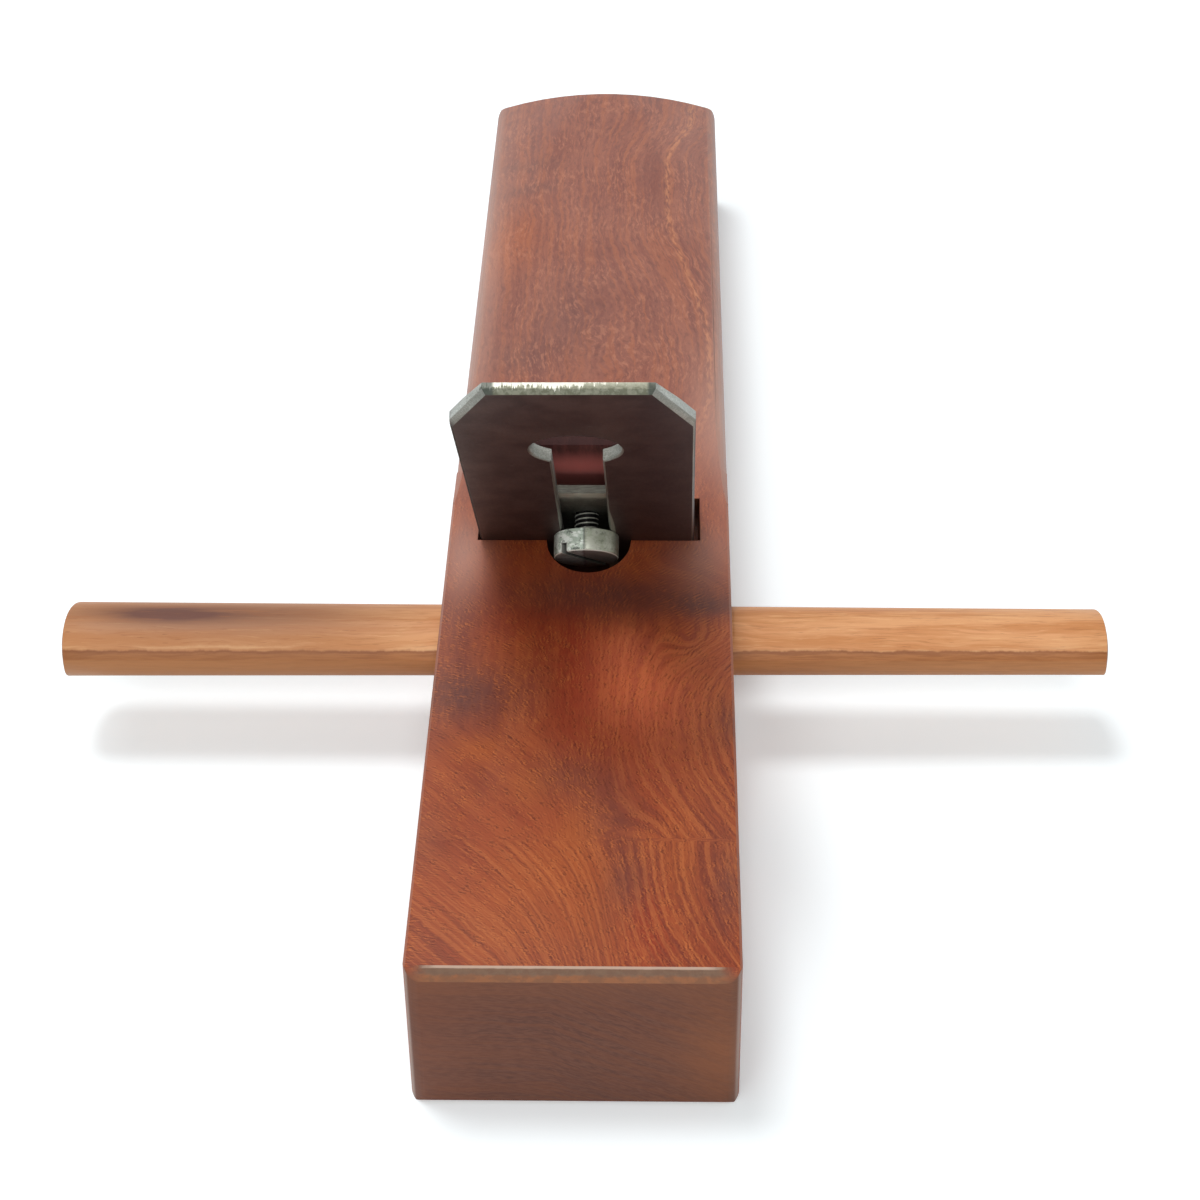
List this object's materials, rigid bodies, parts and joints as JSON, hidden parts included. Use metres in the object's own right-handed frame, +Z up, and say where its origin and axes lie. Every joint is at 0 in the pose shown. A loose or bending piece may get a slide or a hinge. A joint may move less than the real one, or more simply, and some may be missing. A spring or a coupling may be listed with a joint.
{
  "type": "wooden jack plane",
  "caption": "Wooden jack plane with a crowned toe, a leaning iron with keyhole, cap iron and screw, a forked wedge behind cheek abutments and a cross handle.",
  "frame": {"origin": "middle of the sole, on its surface", "axes": "+X to the right seen from the heel, +Y towards the toe, +Z up from the sole"},
  "size_m": [0.2114, 0.33, 0.1081],
  "materials": {
    "stock_wood": "oiled rosewood, fine wavy grain",
    "handle_wood": "oiled, straight grain, golden brown",
    "wedge_wood": "oiled, dark red brown",
    "dark_steel": "blackened faces, bright ground edges",
    "bright_steel": "ground, lightly scratched",
    "screw_steel": "turned, tarnished, worn rim"
  },
  "bodies": {
    "stock": {"body": "stock_wood"},
    "iron": {"plane_iron": "dark_steel"},
    "cap": {"cap_iron": "bright_steel"},
    "screw": {"cap_iron_screw": "screw_steel"},
    "wedge": {"wedge": "wedge_wood"},
    "handle": {"cross_handle": "handle_wood"}
  },
  "joints": [
    {"name": "iron_slide", "type": "slide", "parent": "stock", "child": "iron", "axis": [0, -0.6293, 0.7771], "range_m": [-0.0008, 0.1]},
    {"name": "cap_slide", "type": "slide", "parent": "iron", "child": "cap", "axis": [-0.0087, -0.6293, 0.7771], "range_m": [-0.0008, 0.0594]},
    {"name": "screw_turn", "type": "hinge", "parent": "cap", "child": "screw", "pos_m": [-0.0004, -0.04152, 0.0346], "axis": [0, -0.7771, -0.6293], "range_deg": [0, 720]},
    {"name": "wedge_slide", "type": "slide", "parent": "stock", "child": "wedge", "axis": [0, -0.6293, 0.7771], "range_m": [0, 0.06]},
    {"name": "handle_slide", "type": "slide", "parent": "stock", "child": "handle", "axis": [-1, 0, 0], "range_m": [0, 0.14]}
  ]
}
